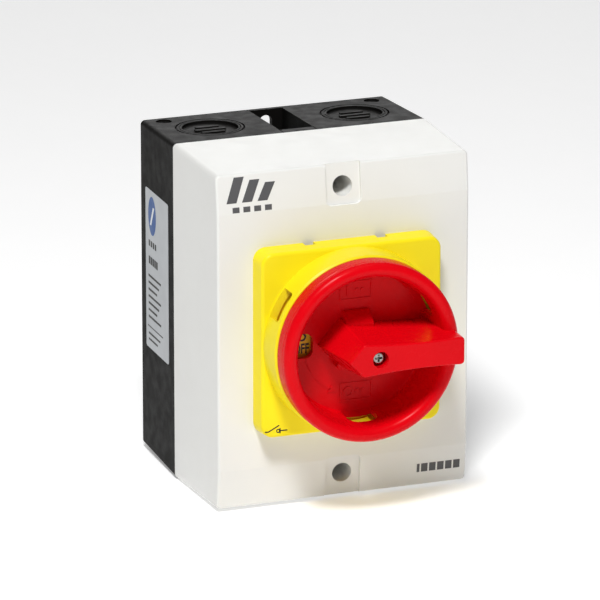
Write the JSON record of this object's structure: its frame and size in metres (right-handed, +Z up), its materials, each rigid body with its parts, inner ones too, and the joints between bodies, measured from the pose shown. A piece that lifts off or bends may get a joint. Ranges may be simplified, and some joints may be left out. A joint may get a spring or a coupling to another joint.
{
  "type": "rotary isolator switch",
  "caption": "Enclosed rotary isolator switch: grey cover on a black base, yellow padlockable collar, red turn handle and a four-pole cam switch inside.",
  "frame": {"origin": "centre of the flat rear face that lies on the wall", "axes": "+Z up, +X to the right as seen from the front, the handle faces -Y and +Y points into the wall"},
  "size_m": [0.094, 0.1136, 0.121],
  "materials": {
    "black_case": "fine spark-eroded matt",
    "grey_cover": "satin moulded",
    "yellow_plastic": "satin moulded",
    "yellow_legend": "printed sheet",
    "red_handle": "satin moulded",
    "silver_label": "printed foil",
    "black_rubber": "moulded rubber",
    "bright_steel": "nickel plated",
    "zinc_steel": "zinc plated",
    "spring_steel": "drawn wire",
    "contact_brass": "pressed strip with silver tips",
    "block_plastic": "glass-filled nylon",
    "white_plastic": "acetal"
  },
  "bodies": {
    "enclosure": {"base_housing": "black_case", "bearing_cap": "block_plastic", "cover_gasket": "black_rubber", "cover_screws": "zinc_steel", "detent_housing": "block_plastic", "detent_springs": "spring_steel", "earth_screws": "zinc_steel", "earth_terminal": "contact_brass", "escutcheon": "yellow_plastic", "escutcheon_gasket": "black_rubber", "escutcheon_screws": "zinc_steel", "foot_screws": "zinc_steel", "front_contact_deck": "block_plastic", "front_cover": "grey_cover", "front_fixed_contacts": "contact_brass", "front_lower_spring": "spring_steel", "front_terminal_clamps": "zinc_steel", "front_terminal_screws": "zinc_steel", "front_upper_spring": "spring_steel", "hub_seal": "black_rubber", "legend_disc": "yellow_legend", "rating_label": "silver_label", "rear_contact_deck": "block_plastic", "rear_fixed_contacts": "contact_brass", "rear_lower_spring": "spring_steel", "rear_terminal_clamps": "zinc_steel", "rear_terminal_screws": "zinc_steel", "rear_upper_spring": "spring_steel", "switch_foot": "block_plastic", "tie_bolts": "zinc_steel"},
    "handle_and_rotor": {"detent_wheel": "white_plastic", "drive_shaft": "zinc_steel", "front_cam": "white_plastic", "handle": "red_handle", "handle_screw": "bright_steel", "rear_cam": "white_plastic", "retaining_ring": "spring_steel"},
    "rear_upper_contact": {"rear_upper_plunger": "white_plastic", "rear_upper_bridge": "contact_brass"},
    "rear_lower_contact": {"rear_lower_plunger": "white_plastic", "rear_lower_bridge": "contact_brass"},
    "front_upper_contact": {"front_upper_plunger": "white_plastic", "front_upper_bridge": "contact_brass"},
    "front_lower_contact": {"front_lower_plunger": "white_plastic", "front_lower_bridge": "contact_brass"}
  },
  "joints": [
    {"name": "handle_turn", "type": "hinge", "parent": "enclosure", "child": "handle_and_rotor", "pos_m": [0, -0.09, 0], "axis": [0, 1, 0], "range_deg": [0, 90], "deforming": ["detent_springs"]},
    {"name": "rear_upper_contact_slide", "type": "slide", "parent": "enclosure", "child": "rear_upper_contact", "axis": [0, 0, -1], "range_m": [0, 0.0025], "deforming": ["rear_upper_spring"]},
    {"name": "rear_lower_contact_slide", "type": "slide", "parent": "enclosure", "child": "rear_lower_contact", "axis": [0, 0, 1], "range_m": [0, 0.0025], "deforming": ["rear_lower_spring"]},
    {"name": "front_upper_contact_slide", "type": "slide", "parent": "enclosure", "child": "front_upper_contact", "axis": [0, 0, -1], "range_m": [0, 0.0025], "deforming": ["front_upper_spring"]},
    {"name": "front_lower_contact_slide", "type": "slide", "parent": "enclosure", "child": "front_lower_contact", "axis": [0, 0, 1], "range_m": [0, 0.0025], "deforming": ["front_lower_spring"]}
  ],
  "couplings": [
    {"joint": "rear_upper_contact_slide", "follows": "handle_turn", "m_per_rad": 0.00159},
    {"joint": "rear_lower_contact_slide", "follows": "handle_turn", "m_per_rad": 0.00159},
    {"joint": "front_upper_contact_slide", "follows": "handle_turn", "m_per_rad": 0.00159},
    {"joint": "front_lower_contact_slide", "follows": "handle_turn", "m_per_rad": 0.00159}
  ]
}
